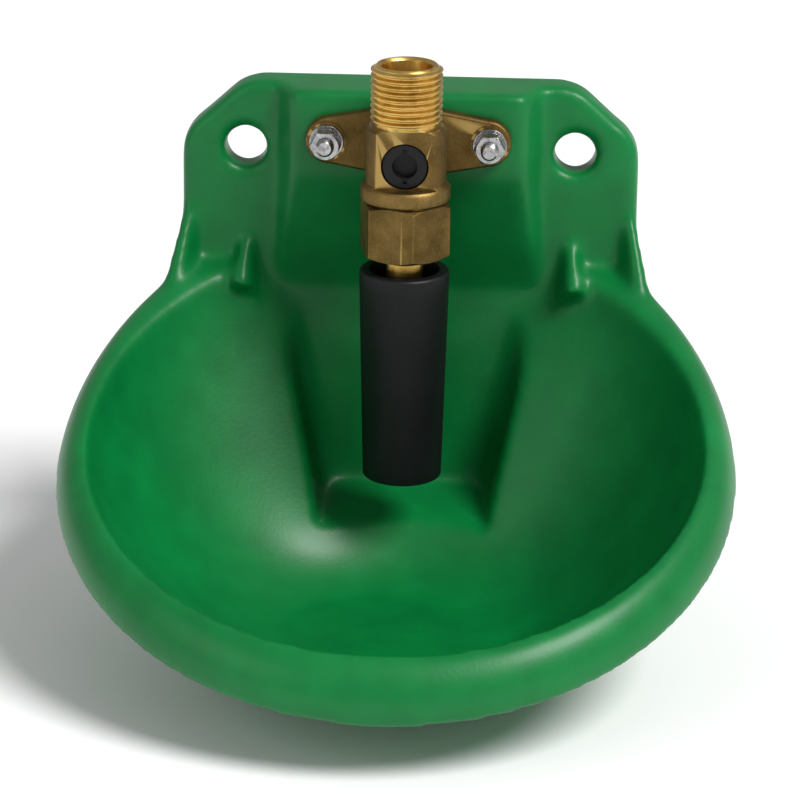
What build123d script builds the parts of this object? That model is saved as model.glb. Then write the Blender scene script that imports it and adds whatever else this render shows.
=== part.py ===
"""Wall-mounted animal drinking bowl with a push-tube valve, built as separate pieces.

Frame: +Z up, +Y towards the wall, +X to the right when facing the bowl.
Origin: midway between the two wall holes, on the plane that touches the wall.
"""

import math
import os

from build123d import *

os.makedirs("parts", exist_ok=True)

# ------------------------------------------------------------------ sizes, mm
# wall plate
hole_spacing = 98.0
hole_r = 6.25
boss_r = 10.5
plate_half = 68.0
plate_top = 20.5
plate_corner_x = 19.0
plate_corner_z = 17.0
plate_round = 12.0
plate_t = 13.0
plate_foot = -47.0
wall = 3.5
rib_x = 31.0
rib_t = 3.0
pad_t = 23.5
pad_half = 34.0
pad_base_half = 40.0
pad_knee = -4.5
pad_foot = -44.0

# bowl
rim_slope = 21.0
rim_y = -89.0
rim_z = -63.0
rim_half = 87.5
rim_rear = 95.0
lip_out = 10.0
lip_front = 14.5
lip_drop = 15.0
lip_round = 1.2
floor_z = -125.0
niche_draft = 2.5
niche_foot = -103.0
niche_half = 42.0
niche_foot_half = 25.0
niche_ramp = 14.0
niche_reach = 45.0
niche_round = 9.0

# stiffening fins between the plate and the rim
fin_deep = 12.5
fin_thick = 6.4
fin_tip_deep = 4.4
fin_tip_thick = 3.6
fin_bury = 2.0

# valve axis and levels
axis_back = 19.0
thread_top = 34.5
thread_len = 18.0
g_half_r = 20.955 / 2
g_pitch = 1.814
g_depth = 1.162
mouth_r = 8.35
inlet_r = 7.5
strainer_ledge = 24.0
passage_r = 5.0
body_r = 11.75
flat_y = 8.3
port_z = 6.0
port_r = 6.9
port_depth = 7.8
flange_r = 13.1
flange_top = -1.0
flange_t = 5.0
spigot_r = 9.8
spigot_len = 8.0
chamber_r = 7.0
chamber_top = -2.2

# union nut and seat stack
nut_af = 24.0
nut_turn = 12.5
nut_len = 16.5
nut_floor = 2.0
nut_mouth_r = 6.6
seat_t = 2.0
holder_t = 2.0
ball_r = 4.8
seat_hole_r = 3.4
cap_r = 6.0
spring_wire = 1.0
spring_r = 3.9

# stem and push tube
shank_r = 2.2
collar_r = 5.4
collar_gap = 1.6
tail_r = 3.0
tube_top_r = 13.25
tube_bottom_r = 11.65
tube_wall = 3.0
tube_gap = 4.5
tube_len = 64.1
bush_t = 9.0
bush_drop = 14.0

# ears and their fasteners
ear_half = 30.25
ear_t = 4.0
ear_z = 6.8
ear_root = 9.5
ear_tip = 7.0
bolt_x = 24.0
bolt_r = 2.5
bolt_hole_r = 2.75
nut8_af = 8.0
nut8_t = 4.0
head_t = 3.5
washer_r = 5.0
washer_t = 1.0
lock_r = 4.4
lock_t = 1.2
rear_r = 6.0
rear_t = 1.2
bolt_proud = 2.5
neck_half = 9.0
boss_lift = 0.6

# flow adjuster
plug_sink = 0.5
plug_head = 4.6
plug_nose = 1.9
plug_nose_r = 3.6
plug_recess_r = 3.7
ring_section = 1.4
ring_room = 1.7

# small inner parts
strainer_h = 4.5
holder_r = 4.2
spring_turns = 3.2
water_hole_r = 1.9
stem_nut_af = 10.0
stem_nut_t = 4.0

fit = 0.05
touch = 0.02

# ------------------------------------------------------------- derived levels
axis_y = -(pad_t + axis_back)
body_bottom = flange_top - flange_t
nut_bottom = body_bottom - nut_len
holder_top = nut_bottom + nut_floor + holder_t
seat_top = holder_top + seat_t
ball_z = seat_top + math.sqrt(ball_r**2 - seat_hole_r**2)
tube_top = nut_bottom - tube_gap
tube_bottom = tube_top - tube_len
bush_top = tube_top - bush_drop
tail_end = bush_top - bush_t - stem_nut_t - 3.0
ear_front = -(pad_t + ear_t)
slope = math.radians(rim_slope)
rim_plane = Plane(
    origin=(0, rim_y, rim_z),
    x_dir=(1, 0, 0),
    z_dir=(0, -math.sin(slope), math.cos(slope)),
)


def save(builder, name):
    """Label one finished piece and write it to its own file."""
    builder.part.label = name
    export_step(builder.part, f"parts/{name}.step")


def egg(plane, half, front, rear):
    """Closed outline: half an ellipse towards the front, another towards the wall."""
    with BuildSketch(plane) as outline:
        with BuildLine():
            EllipticalCenterArc((0, 0), half, rear, start_angle=0, arc_size=180)
            EllipticalCenterArc((0, 0), half, front, start_angle=180, arc_size=180)
        make_face()
    return outline.sketch.face()


def tilted(angle, y, z):
    """Plane through (0, y, z) whose front edge dips by angle."""
    tip = math.radians(angle)
    return Plane(origin=(0, y, z), x_dir=(1, 0, 0), z_dir=(0, -math.sin(tip), math.cos(tip)))


def block(plane, half, low, high):
    """Rectangle symmetric about the middle, from low to high on the plane's second axis."""
    with BuildSketch(plane) as outline:
        with Locations((0, (low + high) / 2)):
            Rectangle(2 * half, high - low)
    return outline.sketch.face()


def channel(plane, half, low, high, corner):
    """Like block, with the two corners on the wall side rounded."""
    with BuildSketch(plane) as outline:
        with Locations((0, (low + high) / 2)):
            Rectangle(2 * half, high - low)
        fillet(outline.vertices().group_by(Axis.Y)[-1], corner)
    return outline.sketch.face()


def plate_outline(shrink):
    """Outline of the wall plate seen from the front, drawn inwards by shrink."""
    half = plate_half - shrink
    top = plate_top - shrink
    cut = shrink * 0.42
    foot = plate_foot + shrink
    with BuildSketch(Plane.XZ) as outline:
        with BuildLine():
            Polyline(
                (-half, foot),
                (half, foot),
                (half, top - plate_corner_z + cut),
                (half - plate_corner_x + cut, top),
                (-half + plate_corner_x - cut, top),
                (-half, top - plate_corner_z + cut),
                close=True,
            )
        make_face()
        fillet(outline.vertices().filter_by(lambda v: v.Y > foot + 1), plate_round - shrink)
    return outline.sketch.face()


def fin(top, foot, splay):
    """Rounded stiffening fin whose front edge runs from top, on the plate, to foot, on the rim.

    The fin fills the corner behind that edge; splay is the sideways part of its depth direction.
    """
    along = Vector(*foot) - Vector(*top)
    start = Plane(origin=top, x_dir=(splay, 1, 0), z_dir=along)
    with BuildSketch(start) as tip:
        with Locations((fin_tip_deep / 2, 0)):
            SlotOverall(fin_tip_deep, fin_tip_thick)
    with BuildSketch(start.offset(along.length + fin_bury)) as base:
        with Locations((fin_deep / 2, 0)):
            SlotOverall(fin_deep, fin_thick)
    return loft([tip.sketch.face(), base.sketch.face()], mode=Mode.PRIVATE)


# ----------------------------------------------------------------------- bowl
pad_wall = 4.0
foot_y = -plate_t - niche_draft
back_low = -plate_t - niche_draft * 0.45
valve_axis = Axis((0, axis_y, 0), (0, 0, 1))

with BuildPart() as plate_shell:
    extrude(plate_outline(0), amount=plate_t)
    loft(
        [
            block(Plane.XZ.offset(plate_t - 0.5), pad_base_half, pad_foot, plate_top),
            block(Plane.XZ.offset(pad_t), pad_half, pad_knee, plate_top),
        ]
    )
    front_edges = plate_shell.edges().filter_by(lambda e: e.center().Y < -plate_t - 3)
    fillet(front_edges, 1.8)
    extrude(plate_outline(wall), amount=plate_t - wall, mode=Mode.SUBTRACT)
    loft(
        [
            block(
                Plane.XZ.offset(plate_t - wall - 1),
                pad_base_half - wall,
                pad_foot + 9,
                plate_top - wall,
            ),
            block(Plane.XZ.offset(pad_t - pad_wall), pad_half - wall, pad_knee + wall, plate_top - wall),
        ],
        mode=Mode.SUBTRACT,
    )
    with BuildSketch(Plane.XZ):
        with Locations((-hole_spacing / 2, 0), (hole_spacing / 2, 0)):
            Circle(boss_r)
    extrude(amount=plate_t)
    with BuildSketch(Plane.XZ):
        for x in (-rib_x, rib_x):
            with Locations((x, (plate_top + plate_foot) / 2)):
                Rectangle(rib_t, plate_top - plate_foot - 2)
    extrude(amount=plate_t - wall + 0.5)
    with BuildSketch(Plane.XZ):
        with Locations((-hole_spacing / 2, 0), (hole_spacing / 2, 0)):
            Circle(hole_r)
    extrude(amount=plate_t, mode=Mode.SUBTRACT)
    with BuildSketch(Plane.XZ):
        with Locations((-bolt_x, ear_z), (bolt_x, ear_z)):
            Circle(bolt_hole_r)
    extrude(amount=pad_t, mode=Mode.SUBTRACT)

side = rim_half + lip_out
front = rim_half + lip_front
with BuildPart() as bowl:
    loft(
        [
            egg(rim_plane, rim_half + 2.0, rim_half + 2.5, rim_rear + 18),
            egg(rim_plane.offset(-lip_drop * 0.27), side - 3.5, front - 5.0, rim_rear + 20),
            egg(rim_plane.offset(-lip_drop * 0.6), side - 1.0, front - 1.5, rim_rear + 21),
            egg(rim_plane.offset(-lip_drop), side, front, rim_rear + 22),
        ]
    )
    loft(
        [
            egg(rim_plane.offset(-wall), rim_half - 1.5, rim_half - 1.0, rim_rear + 14.5),
            egg(rim_plane.offset(-wall - lip_drop * 0.27), side - 7.0, front - 8.5, rim_rear + 16.5),
            egg(rim_plane.offset(-wall - lip_drop * 0.5), side - 5.0, front - 5.2, rim_rear + 17.5),
            egg(rim_plane.offset(-lip_drop - 0.1), side - 3.5, front - 3.5, rim_rear + 18.5),
        ],
        mode=Mode.SUBTRACT,
    )
    lip_edges = bowl.edges().filter_by(lambda e: rim_plane.to_local_coords(e.center()).Z < -lip_drop + 0.01)
    fillet(lip_edges, lip_round)
    loft(
        [
            egg(rim_plane.offset(-1.5), rim_half + 1.0, rim_half + 1.0, rim_rear + 3),
            egg(tilted(12, -87, -88), 82, 80, 72),
            egg(tilted(3, -86, -112), 63, 60, 54),
            egg(tilted(0, -86, floor_z - wall), 38, 36, 34),
        ]
    )
    loft(
        [
            channel(
                Plane.XY.offset(rim_z + 25),
                niche_half + wall,
                rim_y + 44,
                -plate_t + wall,
                niche_round + wall,
            ),
            channel(
                tilted(niche_ramp, foot_y + wall, niche_foot - wall),
                niche_foot_half + wall,
                -niche_reach,
                0,
                niche_round + wall,
            ),
        ]
    )
    loft(
        [
            egg(rim_plane.offset(30), rim_half + 1.5, rim_half + 1.5, rim_rear + 3),
            egg(rim_plane, rim_half, rim_half, rim_rear),
            egg(tilted(12, -87, -86), 78.5, 76.5, 68.5),
            egg(tilted(3, -86, -109), 59.5, 56.5, 50.5),
            egg(tilted(0, -86, floor_z), 34.5, 32.5, 30.5),
        ],
        mode=Mode.SUBTRACT,
    )
    loft(
        [
            channel(Plane.XY.offset(rim_z + 40), niche_half + 2, rim_y, -plate_t, niche_round),
            channel(tilted(niche_ramp, foot_y, niche_foot), niche_foot_half, -niche_reach, 0, niche_round),
        ],
        mode=Mode.SUBTRACT,
    )
    with BuildSketch(Plane.XZ.offset(-60)):
        Rectangle(400, 400)
    extrude(amount=60, mode=Mode.SUBTRACT)
    add(plate_shell.part)
    loft(
        [
            block(Plane.XY.offset(pad_foot + 6), pad_base_half, -plate_t, -plate_t + wall),
            block(Plane.XY.offset(rim_z - 12), niche_half - 8, back_low, back_low + wall),
        ]
    )
    for sign in (-1, 1):
        add(fin((sign * hole_spacing / 2, -plate_t, -25.0), (sign * 50.8, -23.5, -37.0), -sign * 0.35))
        add(fin((sign * (plate_half - 1.8), -plate_t + 1, -16.0), (sign * 71.0, -27.0, -39.0), -sign * 0.45))
save(bowl, "bowl")

# ----------------------------------------------------------------- valve body
root_r = g_half_r - g_depth
crest_count = int((thread_len - 1.6) / g_pitch)
ridges = []
for turn_no in range(crest_count):
    level = thread_top - 1.5 - turn_no * g_pitch
    ridges.append((root_r, level + 0.72))
    ridges.append((g_half_r, level + 0.18))
    ridges.append((g_half_r, level - 0.18))
    ridges.append((root_r, level - 0.72))
shoulder = thread_top - thread_len
spigot_bottom = body_bottom - spigot_len
with BuildPart() as valve_body:
    with BuildSketch(Plane.XZ.offset(-axis_y)):
        with BuildLine():
            Polyline(
                (0, thread_top),
                (root_r - 0.6, thread_top),
                (root_r, thread_top - 0.6),
                *ridges,
                (root_r, shoulder),
                (body_r - 1.0, shoulder),
                (body_r, shoulder - 1.0),
                (body_r, flange_top + 0.8),
                (flange_r - 0.6, flange_top),
                (flange_r, flange_top - 0.8),
                (flange_r, body_bottom + 0.8),
                (flange_r - 0.8, body_bottom),
                (spigot_r, body_bottom),
                (spigot_r, spigot_bottom + 0.6),
                (spigot_r - 0.6, spigot_bottom),
                (0, spigot_bottom),
                close=True,
            )
        make_face()
    revolve(axis=valve_axis)
    with BuildSketch(Plane.XZ.offset(-axis_y + flat_y)):
        with Locations((0, (shoulder + flange_top) / 2)):
            Rectangle(40, shoulder - flange_top)
    extrude(amount=20, mode=Mode.SUBTRACT)
    with BuildSketch(Plane.XZ.offset(pad_t)) as ears:
        with BuildLine():
            Polyline(
                (-ear_half + ear_tip, ear_z - ear_tip),
                (-10, ear_z - ear_root),
                (10, ear_z - ear_root),
                (ear_half - ear_tip, ear_z - ear_tip),
                (ear_half - ear_tip, ear_z + ear_tip),
                (10, ear_z + ear_root),
                (-10, ear_z + ear_root),
                (-ear_half + ear_tip, ear_z + ear_tip),
                close=True,
            )
        make_face()
        with Locations((-ear_half + ear_tip, ear_z), (ear_half - ear_tip, ear_z)):
            Circle(ear_tip)
    extrude(amount=ear_t)
    fillet(valve_body.faces().filter_by(Plane.XZ).sort_by(Axis.Y)[-2].edges(), 1.0)
    with BuildSketch(Plane.XZ.offset(pad_t)):
        with Locations((0, ear_z)):
            RectangleRounded(neck_half * 2, ear_root * 1.7, 3)
    extrude(amount=axis_back - body_r + 4)
    with BuildSketch(Plane.XZ.offset(pad_t)):
        with Locations((-bolt_x, ear_z), (bolt_x, ear_z)):
            Circle(washer_r + 0.8)
    extrude(amount=ear_t + boss_lift)
    with BuildSketch(Plane.XZ.offset(pad_t)):
        with Locations((-bolt_x, ear_z), (bolt_x, ear_z)):
            Circle(bolt_hole_r)
    extrude(amount=ear_t + boss_lift, mode=Mode.SUBTRACT)
    with BuildSketch(Plane.XZ.offset(-axis_y)):
        with BuildLine():
            Polyline(
                (0, thread_top),
                (mouth_r, thread_top),
                (inlet_r, thread_top - 0.9),
                (inlet_r, strainer_ledge),
                (passage_r, strainer_ledge),
                (passage_r, chamber_top),
                (chamber_r, chamber_top),
                (chamber_r, spigot_bottom),
                (0, spigot_bottom),
                close=True,
            )
        make_face()
    revolve(axis=valve_axis, mode=Mode.SUBTRACT)
    with BuildSketch(Plane.XZ.offset(-axis_y + flat_y)):
        with Locations((0, port_z)):
            Circle(port_r)
    extrude(amount=-port_depth, mode=Mode.SUBTRACT)
save(valve_body, "valve_body")

with BuildPart() as inlet_strainer:
    with BuildSketch(Plane.XY.offset(strainer_ledge)):
        with Locations((0, axis_y)):
            Circle(inlet_r - fit)
    extrude(amount=strainer_h)
    with BuildSketch(Plane.XY.offset(strainer_ledge + 0.8)):
        with Locations((0, axis_y)):
            Circle(inlet_r - 0.9)
    extrude(amount=strainer_h, mode=Mode.SUBTRACT)
    with BuildSketch(Plane.XY.offset(strainer_ledge)):
        with Locations((0, axis_y)):
            Circle(0.6)
            with PolarLocations(2.0, 6):
                Circle(0.6)
            with PolarLocations(4.0, 12):
                Circle(0.6)
    extrude(amount=0.8, mode=Mode.SUBTRACT)
save(inlet_strainer, "inlet_strainer")

# -------------------------------------------------------------- flow adjuster
face_y = axis_y - flat_y + plug_sink
groove_r = port_r - ring_section - 2 * touch
port_axis = Axis((0, 0, port_z), (0, 1, 0))
with BuildPart() as flow_adjuster:
    with BuildSketch(Plane.YZ):
        with BuildLine():
            Polyline(
                (face_y, port_z),
                (face_y, port_z + port_r - fit - 0.5),
                (face_y + 0.5, port_z + port_r - fit),
                (face_y + plug_head / 2 - ring_room / 2, port_z + port_r - fit),
                (face_y + plug_head / 2 - ring_room / 2, port_z + groove_r),
                (face_y + plug_head / 2 + ring_room / 2, port_z + groove_r),
                (face_y + plug_head / 2 + ring_room / 2, port_z + port_r - fit),
                (face_y + plug_head, port_z + port_r - fit),
                (face_y + plug_head, port_z + plug_nose_r),
                (face_y + plug_head + plug_nose, port_z + plug_nose_r - 1.0),
                (face_y + plug_head + plug_nose, port_z),
                close=True,
            )
        make_face()
    revolve(axis=port_axis)
    with BuildSketch(Plane.XZ.offset(-face_y)):
        with Locations((0, port_z)):
            Circle(plug_recess_r)
    extrude(amount=-3.2, mode=Mode.SUBTRACT)
    with BuildSketch(Plane.XZ.offset(-face_y)):
        with Locations((0, port_z)):
            Rectangle(1.3, 10.4)
    extrude(amount=-1.3, mode=Mode.SUBTRACT)
save(flow_adjuster, "flow_adjuster")

ring_minor = ring_section / 2
with BuildPart() as adjuster_o_ring:
    with BuildSketch(Plane.YZ):
        with Locations((face_y + plug_head / 2, port_z + port_r - touch - ring_minor)):
            Circle(ring_minor)
    revolve(axis=port_axis)
save(adjuster_o_ring, "adjuster_o_ring")

# ----------------------------------------------------- union nut and the seat
with BuildPart() as union_nut:
    with BuildSketch(Plane.XY.offset(nut_bottom)):
        with Locations((0, axis_y)):
            RegularPolygon(nut_af / 2, 6, major_radius=False, rotation=nut_turn - 30)
    extrude(amount=nut_len)
    corner_r = nut_af / math.sqrt(3)
    with BuildSketch(Plane.XZ.offset(-axis_y)):
        with BuildLine():
            Polyline(
                (0, nut_bottom),
                (nut_af / 2 - 0.2, nut_bottom),
                (corner_r + 0.1, nut_bottom + 1.2),
                (corner_r + 0.1, body_bottom - 1.2),
                (nut_af / 2 - 0.2, body_bottom),
                (0, body_bottom),
                close=True,
            )
        make_face()
    revolve(axis=valve_axis, mode=Mode.INTERSECT)
    with BuildSketch(Plane.XY.offset(nut_bottom)):
        with Locations((0, axis_y)):
            Circle(nut_mouth_r)
    extrude(amount=nut_len, mode=Mode.SUBTRACT)
    with BuildSketch(Plane.XY.offset(nut_bottom + nut_floor)):
        with Locations((0, axis_y)):
            Circle(spigot_r + fit)
    extrude(amount=nut_len, mode=Mode.SUBTRACT)
save(union_nut, "union_nut")


def washer(builder_name, low, high, outer, inner, middle=(0, axis_y)):
    """Plain ring around an upright axis."""
    with BuildPart() as plain:
        with BuildSketch(Plane.XY.offset(low)):
            with Locations(middle):
                Circle(outer)
                Circle(inner, mode=Mode.SUBTRACT)
        extrude(amount=high - low)
    plain.part.label = builder_name
    return plain


seat_outer = spigot_r - 0.2
seat_holder = washer("seat_holder", nut_bottom + nut_floor, holder_top, seat_outer, holder_r)
save(seat_holder, "seat_holder")
seat_ring = washer("seat_ring", holder_top, seat_top, seat_outer, seat_hole_r)
save(seat_ring, "seat_ring")
nut_gasket = washer("nut_gasket", seat_top, spigot_bottom, seat_outer, chamber_r)
save(nut_gasket, "nut_gasket")

# ------------------------------------------------- tilting stem, cap, spring
lift = ball_z + touch
with BuildPart() as valve_stem:
    with Locations((0, axis_y, lift)):
        Sphere(ball_r)
    with BuildSketch(Plane.XZ.offset(-axis_y)):
        with BuildLine():
            Polyline(
                (0, lift),
                (shank_r, lift),
                (shank_r, nut_bottom - collar_gap),
                (collar_r - 0.6, nut_bottom - collar_gap),
                (collar_r, nut_bottom - collar_gap - 0.6),
                (collar_r, bush_top),
                (tail_r, bush_top),
                (tail_r, tail_end + 0.5),
                (tail_r - 0.5, tail_end),
                (0, tail_end),
                close=True,
            )
        make_face()
    revolve(axis=valve_axis)
save(valve_stem, "valve_stem")

with BuildPart() as spring_cap:
    with Locations((0, axis_y, lift)):
        Sphere(cap_r)
        Sphere(ball_r + touch, mode=Mode.SUBTRACT)
    with Locations((0, axis_y, lift + 1.0 - cap_r)):
        Box(3 * cap_r, 3 * cap_r, 2 * cap_r, mode=Mode.SUBTRACT)
save(spring_cap, "spring_cap")

wire_r = spring_wire / 2
spring_low = lift + math.sqrt((cap_r + wire_r + touch) ** 2 - spring_r**2)
spring_high = chamber_top - wire_r - touch
with BuildPart() as closing_spring:
    with BuildLine() as coil:
        Helix(
            pitch=(spring_high - spring_low) / spring_turns,
            height=spring_high - spring_low,
            radius=spring_r,
            center=(0, axis_y, spring_low),
        )
    with BuildSketch(Plane(coil.line @ 0, z_dir=coil.line % 0)):
        Circle(wire_r)
    sweep()
save(closing_spring, "closing_spring")

# ------------------------------------------------------------------ push tube


def tube_r(level):
    """Outer radius of the push tube at a level."""
    return tube_top_r + (tube_bottom_r - tube_top_r) * (tube_top - level) / tube_len


bush_bottom = bush_top - bush_t
with BuildPart() as push_tube:
    with BuildSketch(Plane.XZ.offset(-axis_y)):
        with BuildLine():
            Polyline(
                (tube_top_r - tube_wall, tube_top),
                (tube_top_r - 0.6, tube_top),
                (tube_top_r, tube_top - 0.6),
                (tube_bottom_r, tube_bottom + 0.6),
                (tube_bottom_r - 0.6, tube_bottom),
                (tube_bottom_r - tube_wall, tube_bottom),
                close=True,
            )
        make_face()
    revolve(axis=valve_axis)
save(push_tube, "push_tube")

with BuildPart() as tube_bush:
    with BuildSketch(Plane.XZ.offset(-axis_y)):
        with BuildLine():
            Polyline(
                (tail_r + fit, bush_top),
                (tube_r(bush_top) - tube_wall - fit, bush_top),
                (tube_r(bush_bottom) - tube_wall - fit, bush_bottom),
                (tail_r + fit, bush_bottom),
                close=True,
            )
        make_face()
    revolve(axis=valve_axis)
    with BuildSketch(Plane.XY.offset(bush_bottom)):
        with Locations((0, axis_y)):
            with PolarLocations((tail_r + tube_r(bush_bottom) - tube_wall) / 2, 6, start_angle=30):
                Circle(water_hole_r)
    extrude(amount=bush_t, mode=Mode.SUBTRACT)
save(tube_bush, "tube_bush")

stem_washer = washer("stem_washer", bush_bottom - 1.0, bush_bottom, 4.4, tail_r + fit)
save(stem_washer, "stem_washer")


def hex_nut(across, height, hole):
    """Hexagonal nut standing on its lower face at the origin, corners chamfered."""
    corner = across / math.sqrt(3)
    with BuildPart() as nut:
        with BuildSketch():
            RegularPolygon(across / 2, 6, major_radius=False)
        extrude(amount=height)
        with BuildSketch(Plane.XZ):
            with BuildLine():
                Polyline(
                    (0, 0),
                    (across / 2 - 0.1, 0),
                    (corner + 0.05, (corner - across / 2) * 0.6),
                    (corner + 0.05, height - (corner - across / 2) * 0.6),
                    (across / 2 - 0.1, height),
                    (0, height),
                    close=True,
                )
            make_face()
        revolve(axis=Axis.Z, mode=Mode.INTERSECT)
        if hole > 0:
            with BuildSketch():
                Circle(hole)
            extrude(amount=height, mode=Mode.SUBTRACT)
    return nut.part


with BuildPart() as stem_nut:
    with Locations((0, axis_y, bush_bottom - 1.0 - stem_nut_t)):
        add(hex_nut(stem_nut_af, stem_nut_t, tail_r + fit))
save(stem_nut, "stem_nut")

# ------------------------------------------- bolts that hold the valve's ears
ear_face = pad_t + ear_t + boss_lift
head_seat = pad_t - pad_wall - rear_t
bolt_len = ear_face + washer_t + lock_t + nut8_t + bolt_proud - head_seat


def both_sides(depth):
    """The two fastener places at a distance in front of the wall plane, axis forwards."""
    return Locations(
        Location((-bolt_x, -depth, ear_z), (90, 0, 0)),
        Location((bolt_x, -depth, ear_z), (90, 0, 0)),
    )


bolt_ridges = []
for turn_no in range(3):
    level = bolt_len - bolt_proud - 0.45 + turn_no * 0.8
    bolt_ridges.append((bolt_r, level - 0.1))
    bolt_ridges.append((bolt_r - 0.35, level + 0.25))
    bolt_ridges.append((bolt_r - 0.35, level + 0.35))
    bolt_ridges.append((bolt_r, level + 0.65))
with BuildPart() as one_bolt:
    with BuildSketch(Plane.XZ):
        with BuildLine():
            Polyline(
                (0, 0),
                (bolt_r, 0),
                *bolt_ridges,
                (bolt_r, bolt_len - 0.6),
                (bolt_r - 0.6, bolt_len),
                (0, bolt_len),
                close=True,
            )
        make_face()
    revolve(axis=Axis.Z)
    with Locations((0, 0, -head_t)):
        add(hex_nut(nut8_af, head_t, 0))
with BuildPart() as valve_bolts:
    with both_sides(head_seat):
        add(one_bolt.part)
save(valve_bolts, "valve_bolts")

with BuildPart() as rear_washers:
    with both_sides(head_seat):
        add(washer("ring", 0, rear_t, rear_r, bolt_r + 0.1, (0, 0)).part)
save(rear_washers, "rear_washers")

with BuildPart() as front_washers:
    with both_sides(ear_face):
        add(washer("ring", 0, washer_t, washer_r, bolt_r + 0.1, (0, 0)).part)
save(front_washers, "front_washers")

with BuildPart() as split_ring:
    with BuildSketch():
        Circle(lock_r)
        Circle(bolt_r + 0.1, mode=Mode.SUBTRACT)
        with Locations(Location((lock_r, 0, 0), (0, 0, 0))):
            Rectangle(lock_r, 0.7, rotation=0, mode=Mode.SUBTRACT)
    extrude(amount=lock_t)
with BuildPart() as lock_washers:
    with both_sides(ear_face + washer_t):
        add(split_ring.part)
save(lock_washers, "lock_washers")

with BuildPart() as valve_nuts:
    with both_sides(ear_face + washer_t + lock_t):
        add(hex_nut(nut8_af, nut8_t, bolt_r + fit))
save(valve_nuts, "valve_nuts")
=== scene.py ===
import math
import bpy
import bmesh
from mathutils import Matrix, Vector


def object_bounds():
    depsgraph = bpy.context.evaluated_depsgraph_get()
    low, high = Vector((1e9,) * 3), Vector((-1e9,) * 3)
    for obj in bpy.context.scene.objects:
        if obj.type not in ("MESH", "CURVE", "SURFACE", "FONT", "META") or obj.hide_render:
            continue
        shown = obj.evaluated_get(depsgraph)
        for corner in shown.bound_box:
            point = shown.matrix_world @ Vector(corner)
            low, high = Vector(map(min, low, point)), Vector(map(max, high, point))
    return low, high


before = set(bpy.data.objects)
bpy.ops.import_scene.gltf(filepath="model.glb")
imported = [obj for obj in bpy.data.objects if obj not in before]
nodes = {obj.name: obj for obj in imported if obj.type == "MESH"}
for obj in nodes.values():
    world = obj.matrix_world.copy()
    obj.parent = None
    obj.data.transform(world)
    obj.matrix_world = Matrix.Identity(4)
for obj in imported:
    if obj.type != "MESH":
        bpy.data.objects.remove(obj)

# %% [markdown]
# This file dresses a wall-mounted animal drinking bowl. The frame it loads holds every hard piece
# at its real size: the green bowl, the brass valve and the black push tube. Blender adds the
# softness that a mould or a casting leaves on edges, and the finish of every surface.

cad_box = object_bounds()
print("nodes:", sorted(nodes))
print("box of the hard pieces:", cad_box)

# %% [markdown]
# The camera looks slightly down on the bowl, from a little to its right. It could be placed with a
# Track To constraint, but a matrix built from three directions also holds the small roll, and it
# can be read line by line. A long lens from more than a metre keeps the valve's edges parallel.

# %% Camera
MM = 0.001
AZIMUTH, ELEVATION, ROLL = math.radians(2.3), math.radians(19.5), math.radians(-0.75)
TARGET = Vector((-0.8, -42.5, -67.9)) * MM
DISTANCE = 1.15
LENS = 174.9
NEAREST, FARTHEST = 0.05, 20

back = Vector((
    math.sin(AZIMUTH) * math.cos(ELEVATION),
    -math.cos(AZIMUTH) * math.cos(ELEVATION),
    math.sin(ELEVATION),
))
level = Vector((math.cos(AZIMUTH), math.sin(AZIMUTH), 0))
upright = back.cross(level)
right = level * math.cos(ROLL) - upright * math.sin(ROLL)
up = back.cross(right)
lens_data = bpy.data.cameras.new("view")
lens_data.lens = LENS
lens_data.clip_start = NEAREST
lens_data.clip_end = FARTHEST
camera = bpy.data.objects.new("view", lens_data)
bpy.context.scene.collection.objects.link(camera)
turn = Matrix((right, up, back)).transposed().to_4x4()
camera.matrix_world = Matrix.Translation(TARGET + back * DISTANCE) @ turn
bpy.context.scene.camera = camera
bpy.context.scene.view_settings.view_transform = "Standard"
print("camera at", [round(v, 3) for v in camera.matrix_world.translation])

# %% [markdown]
# A finish is a small network of nodes. Wiring it by hand takes many lines, so two helpers do it: a
# Signal wraps one socket and turns + - * into Math nodes, and a Finish holds the material and adds
# any other node from its type, its settings and its inputs.

# %% Helpers for finishes


class Signal:
    """One number that varies over a surface."""

    def __init__(self, finish, socket):
        self.finish = finish
        self.socket = socket

    def _math(self, operation, first, second):
        made = self.finish.node("ShaderNodeMath", {"operation": operation}, {0: first, 1: second})
        return Signal(self.finish, made.outputs[0])

    def __add__(self, other):
        return self._math("ADD", self, other)

    def __radd__(self, other):
        return self._math("ADD", other, self)

    def __sub__(self, other):
        return self._math("SUBTRACT", self, other)

    def __rsub__(self, other):
        return self._math("SUBTRACT", other, self)

    def __mul__(self, other):
        return self._math("MULTIPLY", self, other)

    def __rmul__(self, other):
        return self._math("MULTIPLY", other, self)


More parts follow.
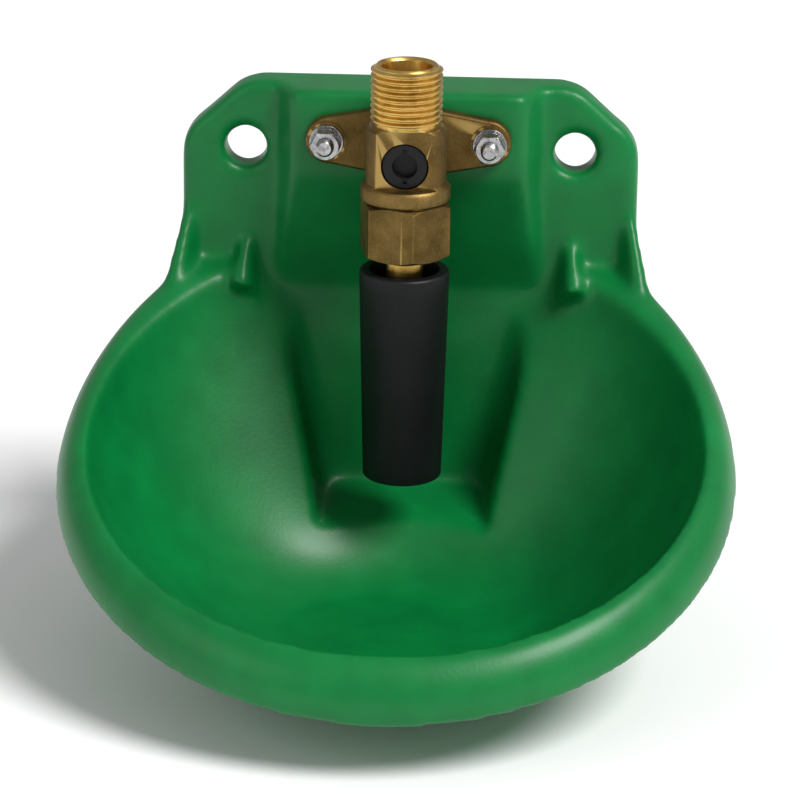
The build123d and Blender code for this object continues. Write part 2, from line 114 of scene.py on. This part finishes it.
class Finish:
    """A material whose surface is one Principled BSDF."""

    def __init__(self, name, **constants):
        self.material = bpy.data.materials.new(name)
        self.material.use_nodes = True
        self.tree = self.material.node_tree
        self.surface = self.tree.nodes["Principled BSDF"]
        for key, value in constants.items():
            self.surface.inputs[key.replace("_", " ")].default_value = value
        self.place = self.node("ShaderNodeTexCoord").outputs["Object"]

    def node(self, kind, settings=None, inputs=None):
        made = self.tree.nodes.new(kind)
        for key, value in (settings or {}).items():
            if key == "stops":
                ramp = made.color_ramp
                while len(ramp.elements) < len(value):
                    ramp.elements.new(0.5)
                for stop, (at, colour) in zip(ramp.elements, value):
                    stop.position = at
                    stop.color = (*colour, 1)
            else:
                setattr(made, key, value)
        for key, value in (inputs or {}).items():
            self.feed(made.inputs[key], value)
        return made

    def feed(self, socket, value):
        if isinstance(value, Signal):
            value = value.socket
        if isinstance(value, bpy.types.NodeSocket):
            self.tree.links.new(value, socket)
        else:
            socket.default_value = value

    def noise(self, scale, detail=3.0, rough=0.55, stretch=(1, 1, 1)):
        """Smooth random signal; scale is in cycles per metre."""
        spread = self.node("ShaderNodeMapping", {}, {"Vector": self.place, "Scale": stretch})
        made = self.node("ShaderNodeTexNoise", {"noise_dimensions": "3D"}, {
            "Vector": spread.outputs[0], "Scale": scale, "Detail": detail, "Roughness": rough,
        })
        return Signal(self, made.outputs["Fac"])

    def sharpen(self, signal, low, high):
        made = self.node("ShaderNodeMapRange", {"interpolation_type": "SMOOTHSTEP"}, {
            "Value": signal, "From Min": low, "From Max": high,
        })
        return Signal(self, made.outputs[0])

    def ramp(self, signal, *stops):
        made = self.node("ShaderNodeValToRGB", {"stops": stops}, {"Fac": signal})
        return made.outputs["Color"]

    def mix(self, mask, one, two):
        made = self.node("ShaderNodeMix", {"data_type": "RGBA"}, {"Factor": mask})
        self.feed(made.inputs[6], one)
        self.feed(made.inputs[7], two)
        return made.outputs[2]

    def relief(self, height, depth, strength=1.0, under=None):
        made = self.node("ShaderNodeBump", {}, {
            "Height": height, "Distance": depth, "Strength": strength,
        })
        if under is not None:
            self.feed(made.inputs["Normal"], under)
        return made.outputs[0]

    def height(self):
        """Metres above the wall holes."""
        made = self.node("ShaderNodeSeparateXYZ", {}, {"Vector": self.place})
        return Signal(self, made.outputs[2])

    def edges(self, low, high):
        """1 on convex edges, 0 on flats and hollows."""
        point = self.node("ShaderNodeNewGeometry").outputs["Pointiness"]
        return self.sharpen(Signal(self, point), low, high)

    def show(self, **ends):
        for key, value in ends.items():
            self.feed(self.surface.inputs[key.replace("_", " ")], value)
        return self.material


def tone(red, green, blue):
    """A colour given as it looks on a screen, 0 to 255, turned into scene light."""
    return tuple(
        ((c / 255 + 0.055) / 1.055) ** 2.4 if c > 10 else c / 255 / 12.92
        for c in (red, green, blue)
    )


print("finish helpers ready")

# %% [markdown]
# The bowl is one moulding in green plastic. Its gloss is broken by a faint orange peel from the
# mould, wide flow marks where the plastic cooled unevenly, and fine scuffs from handling. Each is
# a noise at its own scale: centimetres for the flow marks, about a millimetre for the peel.

# %% Green moulded plastic
green = Finish("green_plastic", Coat_Roughness=0.26, IOR=1.45, Specular_IOR_Level=0.30)
flow = green.noise(22, 2.0)
cloud = green.noise(90, 4.0)
peel = green.noise(850, 2.0)
grain = green.noise(3800, 2.0)
scuff = green.sharpen(green.noise(260, 6.0, 0.7, (1, 1, 0.18)), 0.62, 0.78)
hue = green.ramp(
    flow * 0.6 + cloud * 0.4,
    (0.30, tone(0, 98, 44)), (0.50, tone(0, 108, 49)), (0.70, tone(0, 118, 55)),
)
worn = green.mix(scuff * 0.18, hue, (*tone(40, 134, 88), 1))
peel_bump = green.relief(peel, 0.00012, 0.35)
grain_bump = green.relief(grain, 0.00002, 0.3, under=peel_bump)
green.show(
    Base_Color=worn,
    Roughness=0.36 + cloud * 0.10 + scuff * 0.18,
    Coat_Weight=0.10 - scuff * 0.06,
    Normal=grain_bump,
)
print("green plastic:", len(green.tree.nodes), "nodes")

# %% [markdown]
# The valve body and union nut are sand-cast brass, tumbled rather than polished. The metal is olive
# and dull in the hollows and brighter where edges rub, so the colour follows both a noise and the
# sharpness of the surface. A fine pitted bump gives the casting skin. The inlet thread is cut into
# the same piece, so above the shoulder the colour turns to bright, clean brass.

# %% Cast brass
cast = Finish("cast_brass", Metallic=1.0)
patch = cast.noise(140, 4.0)
pits = cast.noise(1900, 3.0, 0.6)
skin = cast.noise(520, 3.0)
rub = cast.edges(0.52, 0.60)
dull = cast.ramp(
    patch * 0.65 + pits * 0.35,
    (0.30, tone(84, 66, 36)), (0.50, tone(116, 93, 52)), (0.72, tone(142, 116, 68)),
)
rubbed = cast.mix(rub * 0.7, dull, (*tone(196, 164, 100), 1))
SHOULDER = 0.0165
THREAD_FADE = 0.0002
cut = cast.sharpen(cast.height(), SHOULDER - THREAD_FADE, SHOULDER + THREAD_FADE)
bright = cast.ramp(patch, (0.35, tone(186, 150, 78)), (0.70, tone(228, 192, 112)))
cast_low = cast.relief(skin * (1 - cut), 0.0003, 0.35)
cast_fine = cast.relief(pits * (1 - cut), 0.00012, 0.5, under=cast_low)
cast.show(
    Base_Color=cast.mix(cut, rubbed, bright),
    Roughness=0.44 + patch * 0.16 - rub * 0.14 - cut * 0.20,
    Normal=cast_fine,
)
print("cast brass:", len(cast.tree.nodes), "nodes")

# %% [markdown]
# The stem and the seat holder are cut on a lathe, so they are brighter, yellower and finely
# ringed. The rings come from a noise squeezed along the valve's upright axis, which gives uneven
# turning lines without the regular look of a wave.

# %% Turned brass
turned = Finish("turned_brass", Metallic=1.0)
lathe = turned.noise(60, 3.0, 0.6, (1, 1, 90))
tarnish = turned.noise(180, 4.0)
gold = turned.ramp(
    tarnish * 0.7 + lathe * 0.3,
    (0.30, tone(176, 140, 66)), (0.52, tone(216, 178, 96)), (0.75, tone(240, 206, 130)),
)
turned.show(
    Base_Color=gold,
    Roughness=0.20 + tarnish * 0.16 + lathe * 0.06,
    Normal=turned.relief(lathe, 0.00008, 0.4),
)
print("turned brass:", len(turned.tree.nodes), "nodes")

# %% [markdown]
# The push tube is black plastic with a soft sheen. It is drawn in a mould that leaves faint upright
# drag lines, and dust catches the light. The flow adjuster and the bush are the same plastic.

# %% Black plastic
black = Finish("black_plastic", IOR=1.45, Specular_IOR_Level=0.35)
drag = black.noise(900, 3.0, 0.6, (1, 1, 0.05))
dust = black.sharpen(black.noise(420, 6.0, 0.7), 0.60, 0.80)
mottle = black.noise(60, 3.0)
soot = black.ramp(mottle * 0.7 + drag * 0.3, (0.30, tone(9, 9, 11)), (0.70, tone(17, 17, 20)))
black.show(
    Base_Color=black.mix(dust * 0.16, soot, (*tone(76, 80, 84), 1)),
    Roughness=0.40 + mottle * 0.14 + dust * 0.15,
    Normal=black.relief(drag, 0.00006, 0.5),
)
print("black plastic:", len(black.tree.nodes), "nodes")

# %% [markdown]
# Bolts, nuts and washers are zinc-plated steel: bright, slightly mottled, a touch warm where the
# plating is thin. A crystal pattern of the plating shows as small cells in the colour.

# %% Plated steel
plated = Finish("plated_steel", Metallic=1.0)
cells = plated.node("ShaderNodeTexVoronoi", {}, {"Vector": plated.place, "Scale": 900.0})
split = plated.node("ShaderNodeSeparateColor", {}, {"Color": cells.outputs["Color"]})
spangle = Signal(plated, split.outputs[0])
stain = plated.sharpen(plated.noise(700, 5.0, 0.65), 0.56, 0.78)
zinc = plated.ramp(spangle, (0.0, tone(138, 138, 140)), (1.0, tone(186, 186, 186)))
plated.show(
    Base_Color=plated.mix(stain * 0.45, zinc, (*tone(150, 136, 112), 1)),
    Roughness=0.22 + spangle * 0.08 + stain * 0.2,
    Normal=plated.relief(plated.noise(2600, 3.0), 0.00004, 0.4),
)
print("plated steel:", len(plated.tree.nodes), "nodes")

# %% [markdown]
# Seals are matt black rubber with a bloom of grey powder. The cap that rides on the stem's head is
# a white engineering plastic that has yellowed a little.

# %% Rubber and white plastic
rubber = Finish("seal_rubber", IOR=1.45)
bloom = rubber.noise(500, 5.0, 0.7)
rubber.show(
    Base_Color=rubber.ramp(bloom, (0.35, tone(28, 28, 29)), (0.75, tone(62, 62, 64))),
    Roughness=0.62 + bloom * 0.2,
    Normal=rubber.relief(rubber.noise(2400, 3.0), 0.00006, 0.5),
)
milky = Finish("white_plastic", IOR=1.5)
age = milky.noise(300, 4.0)
milky.show(
    Base_Color=milky.ramp(age, (0.3, tone(226, 220, 204)), (0.7, tone(242, 239, 230))),
    Roughness=0.42 + age * 0.12,
    Normal=milky.relief(milky.noise(1800, 2.0), 0.00005, 0.4),
)
print("rubber and white plastic ready")

# %% [markdown]
# Every hard piece now gets its finish. The frame's pieces keep their shapes, so only the material
# in each slot is swapped.

# %% Dress the pieces
finishes = {
    green.material: ["bowl"],
    cast.material: ["valve_body", "union_nut"],
    turned.material: ["valve_stem", "seat_holder"],
    black.material: ["push_tube", "flow_adjuster", "tube_bush"],
    plated.material: [
        "valve_bolts", "valve_nuts", "front_washers", "lock_washers", "rear_washers",
        "closing_spring", "inlet_strainer", "stem_nut", "stem_washer",
    ],
    rubber.material: ["adjuster_o_ring", "seat_ring", "nut_gasket"],
    milky.material: ["spring_cap"],
}
for material, names in finishes.items():
    for name in names:
        piece = nodes[name]
        piece.data.materials.clear()
        piece.data.materials.append(material)
print("dressed", sum(len(names) for names in finishes.values()), "pieces")

# %% [markdown]
# No moulded or machined edge is perfectly sharp. The small pieces get a Weld modifier, which joins
# their loose triangles, and then a Bevel that rounds every edge steeper than its angle. The bowl
# has soft blends between its plate, fins and rim, so it is remeshed finely and smoothed instead,
# which melts all its inner corners at once as a mould does.

# %% Soften edges
EDGE_WIDTHS = {
    "valve_body": 0.18, "union_nut": 0.35, "valve_nuts": 0.2, "valve_bolts": 0.15,
    "front_washers": 0.12, "lock_washers": 0.12, "flow_adjuster": 0.15, "push_tube": 0.3,
    "valve_stem": 0.2,
}
SHARP = math.radians(38)
WELD_GAP = 0.001 * MM
for name, width in EDGE_WIDTHS.items():
    joined = nodes[name].modifiers.new("joined_triangles", "WELD")
    joined.merge_threshold = WELD_GAP
    rounding = nodes[name].modifiers.new("rounded_edges", "BEVEL")
    rounding.width = width * MM
    rounding.segments = 2
    rounding.limit_method = "ANGLE"
    rounding.angle_limit = SHARP
    rounding.harden_normals = True

BOWL_GRID = 1.2 * MM
MELT_PASSES = 26
bowl = nodes["bowl"]
skin_grid = bowl.modifiers.new("moulded_skin", "REMESH")
skin_grid.mode = "VOXEL"
skin_grid.voxel_size = BOWL_GRID
skin_grid.use_smooth_shade = True
melt = bowl.modifiers.new("melted_corners", "SMOOTH")
melt.factor = 0.5
melt.iterations = MELT_PASSES
print("edges softened on", len(EDGE_WIDTHS) + 1, "pieces")

# %% [markdown]
# The stage is a plain pale floor, as on a product table. The sky is dim, because a bright one would
# lay a grey film over the dark plastic. A very soft sun from the right and above does most of the
# work: it lights the floor evenly, leaves the right inner wall of the bowl in shade and brightens
# the left one. A weak panel on the left draws a faint highlight.

# %% Stage and light
FLOOR_SIZE = 6.0
FLOOR_GAP = 0.002
SKY_STRENGTH = 0.38
floor_mesh = bpy.data.meshes.new("floor")
sheet = bmesh.new()
bmesh.ops.create_grid(sheet, x_segments=1, y_segments=1, size=FLOOR_SIZE)
sheet.to_mesh(floor_mesh)
sheet.free()
floor = bpy.data.objects.new("floor", floor_mesh)
floor.location.z = cad_box[0][2] - FLOOR_GAP
bpy.context.scene.collection.objects.link(floor)
pale = Finish("pale_floor", Roughness=0.9)
pale.show(Base_Color=(0.93, 0.93, 0.93, 1))
floor_mesh.materials.append(pale.material)

world = bpy.data.worlds.new("sky")
world.use_nodes = True
world.node_tree.nodes["Background"].inputs["Color"].default_value = (1, 1, 1, 1)
world.node_tree.nodes["Background"].inputs["Strength"].default_value = SKY_STRENGTH
bpy.context.scene.world = world


def point_at(lamp, position, aim):
    """Link a lamp, place it and turn it towards aim."""
    lamp.location = position
    lamp.rotation_euler = (Vector(aim) - Vector(position)).to_track_quat("-Z", "Y").to_euler()
    bpy.context.scene.collection.objects.link(lamp)


MIDDLE = (0, -0.07, -0.05)
SUN_FROM, SUN_STRENGTH, SUN_SPREAD = (0.85, -0.65, 1.15), 3.3, math.radians(24)
PANEL_FROM, PANEL_POWER, PANEL_SIZE = (-0.9, -0.9, 0.5), 2.5, 0.8
sun_data = bpy.data.lights.new("key_sun", "SUN")
sun_data.energy = SUN_STRENGTH
sun_data.angle = SUN_SPREAD
point_at(bpy.data.objects.new("key_sun", sun_data), SUN_FROM, MIDDLE)
panel_data = bpy.data.lights.new("left_panel", "AREA")
panel_data.size = PANEL_SIZE
panel_data.energy = PANEL_POWER
point_at(bpy.data.objects.new("left_panel", panel_data), PANEL_FROM, MIDDLE)
print("stage and lights ready")
